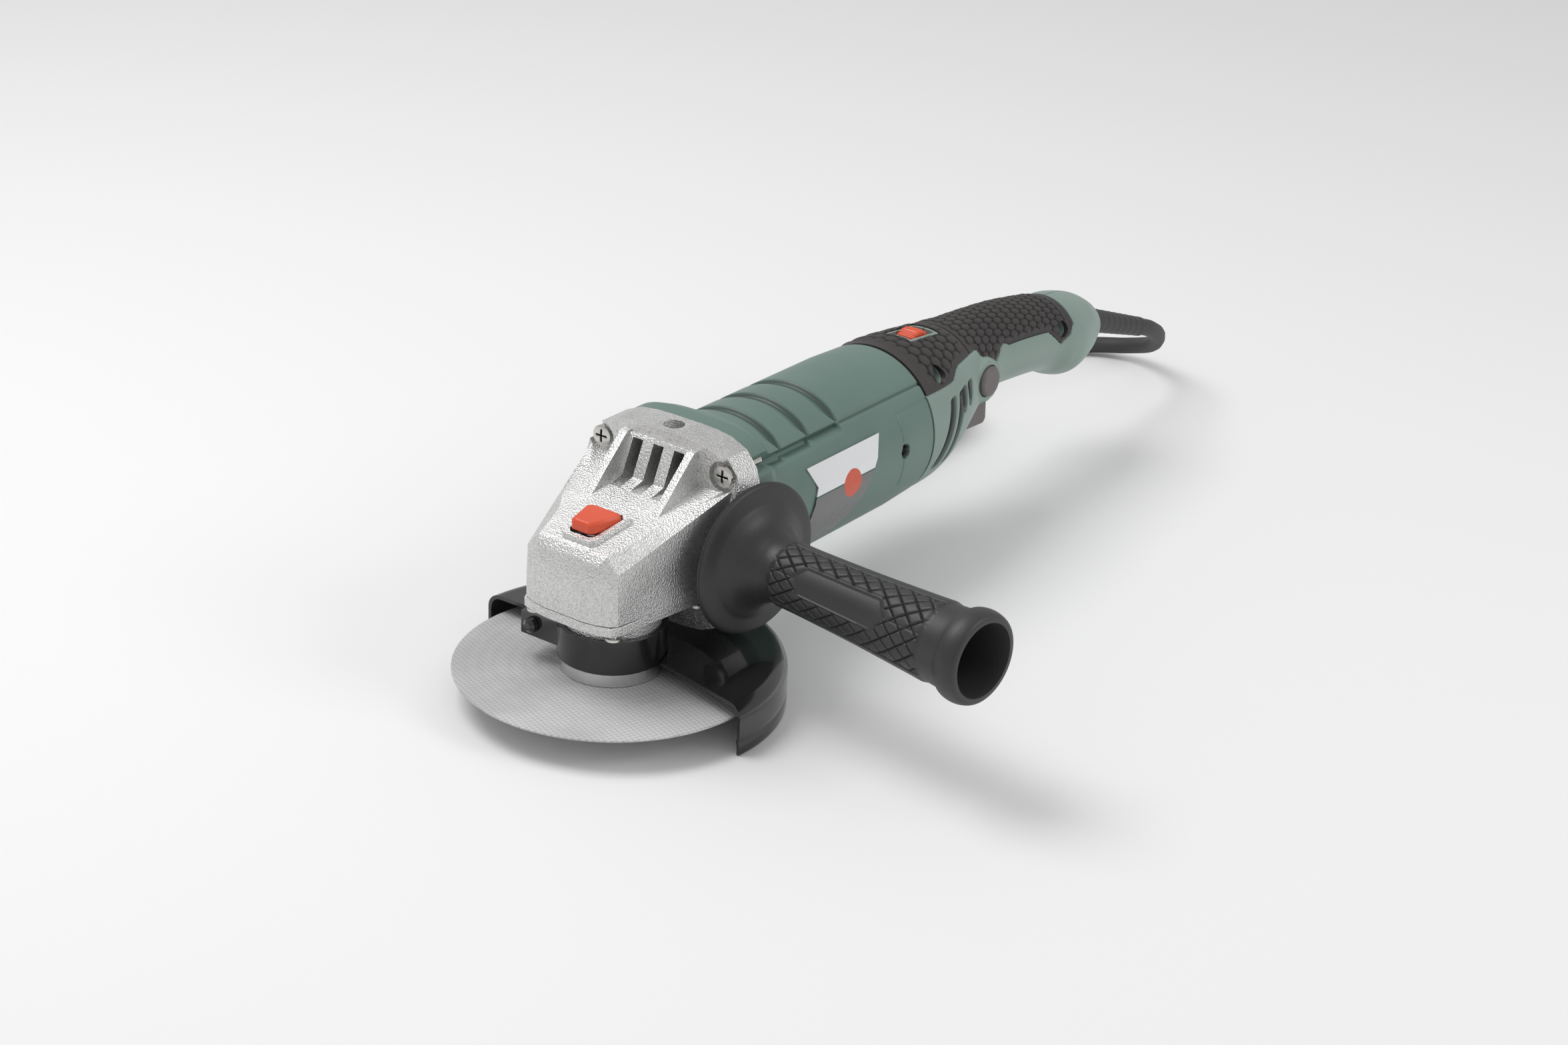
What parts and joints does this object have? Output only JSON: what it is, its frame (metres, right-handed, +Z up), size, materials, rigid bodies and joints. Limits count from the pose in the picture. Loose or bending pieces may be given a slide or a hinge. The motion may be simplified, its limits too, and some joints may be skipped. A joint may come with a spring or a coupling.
{
  "type": "corded angle grinder",
  "caption": "Corded angle grinder with a cutting wheel under a swivelling guard, a right-angle gear case, a side handle, a long rear handle with trigger, and a mains lead with plug.",
  "frame": {"origin": "centre of the spindle's lower end face", "axes": "+Z up along the spindle axis, from the wheel into the gear case; +Y along the motor axis towards the rear handle; +X towards the side handle"},
  "size_m": [0.2747, 0.5105, 0.104],
  "materials": {
    "cast_aluminium": "cast, bead blasted",
    "green_plastic": "satin moulded",
    "green_plastic_tail": "satin moulded",
    "grip_rubber": "textured overmould",
    "handle_plastic": "matt moulded",
    "black_steel": "gloss black",
    "bright_steel": "turned",
    "zinc_steel": "zinc plated",
    "orange_plastic": "satin moulded",
    "grey_plastic": "satin moulded",
    "abrasive": "bonded abrasive with printed paper",
    "label_film": "printed film",
    "copper": "bright copper",
    "winding_varnish": "varnished copper wire",
    "electrical_steel": "laminated",
    "black_plastic": "moulded",
    "carbon": "carbon brush",
    "board_resin": "circuit board",
    "cord_rubber": "rubber sheathed",
    "nickel": "nickel plated"
  },
  "bodies": {
    "housing": {"gear_case": "cast_aluminium", "spindle_cover": "cast_aluminium", "motor_housing": "green_plastic", "handle_shell_right": "green_plastic_tail", "handle_shell_left": "green_plastic_tail", "grip_cover": "grip_rubber", "side_handle": "handle_plastic", "lock_spring": "bright_steel", "spindle_bearing": "bright_steel", "upper_bearing": "bright_steel", "front_bearing": "bright_steel", "rear_bearing": "bright_steel", "cover_screw_1": "zinc_steel", "cover_screw_2": "zinc_steel", "cover_screw_3": "zinc_steel", "cover_screw_4": "zinc_steel", "case_screw_1": "zinc_steel", "case_screw_2": "zinc_steel", "case_screw_3": "zinc_steel", "case_screw_4": "zinc_steel", "side_handle_stud": "zinc_steel", "handle_screw_front": "zinc_steel", "handle_screw_rear": "zinc_steel", "label_plate": "label_film", "field_coil_right": "winding_varnish", "field_coil_left": "winding_varnish", "stator_core": "electrical_steel", "air_baffle": "black_plastic", "brush_holder_left": "black_plastic", "brush_holder_right": "black_plastic", "switch_body": "black_plastic", "brush_left": "carbon", "brush_right": "carbon", "speed_board": "board_resin", "cord_guard": "cord_rubber", "cord_tube": "cord_rubber", "cord_hank": "cord_rubber", "plug_body": "cord_rubber", "plug_pin_1": "nickel", "plug_pin_2": "nickel"},
    "armature": {"armature_shaft": "bright_steel", "pinion": "zinc_steel", "cooling_fan": "black_plastic", "armature_core": "electrical_steel", "winding_front": "winding_varnish", "winding_rear": "winding_varnish", "commutator": "copper"},
    "spindle": {"spindle": "bright_steel", "bevel_gear": "zinc_steel", "inner_flange": "bright_steel", "lock_nut": "black_steel", "cutting_disc": "abrasive"},
    "guard": {"wheel_guard": "black_steel", "guard_band": "black_steel", "clamp_screw": "black_steel"},
    "lock_button": {"lock_button": "orange_plastic", "lock_pin": "bright_steel"},
    "trigger": {"trigger": "grey_plastic"},
    "lock_on_button": {"lock_on_button": "grey_plastic"},
    "speed_dial": {"speed_dial": "orange_plastic"}
  },
  "joints": [
    {"name": "armature_spin", "type": "hinge", "parent": "housing", "child": "armature", "pos_m": [0, 0, 0.061], "axis": [0, 1, 0], "continuous": true},
    {"name": "spindle_spin", "type": "hinge", "parent": "housing", "child": "spindle", "pos_m": [0, 0, 0], "axis": [0, 0, 1], "continuous": true},
    {"name": "guard_turn", "type": "hinge", "parent": "housing", "child": "guard", "pos_m": [0, 0, 0.0236], "axis": [0, 0, 1], "range_deg": [-60, 90]},
    {"name": "lock_press", "type": "slide", "parent": "housing", "child": "lock_button", "axis": [0, 0, -1], "range_m": [0, 0.0035], "stiffness_N_per_m": 800, "springref_m": -0.002, "deforming": ["lock_spring"]},
    {"name": "trigger_pull", "type": "hinge", "parent": "housing", "child": "trigger", "pos_m": [0, 0.206, 0.0445], "axis": [1, 0, 0], "range_deg": [0, 6], "stiffness_Nm_per_rad": 0.6, "springref_deg": -5.73},
    {"name": "lock_on_press", "type": "slide", "parent": "housing", "child": "lock_on_button", "axis": [-1, 0, 0], "range_m": [0, 0.0025], "stiffness_N_per_m": 600, "springref_m": -0.002},
    {"name": "dial_turn", "type": "hinge", "parent": "housing", "child": "speed_dial", "pos_m": [0, 0.1974, 0.086], "axis": [1, 0, 0], "range_deg": [0, 270]}
  ],
  "couplings": [
    {"joint": "spindle_spin", "follows": "armature_spin", "ratio": 0.32}
  ]
}
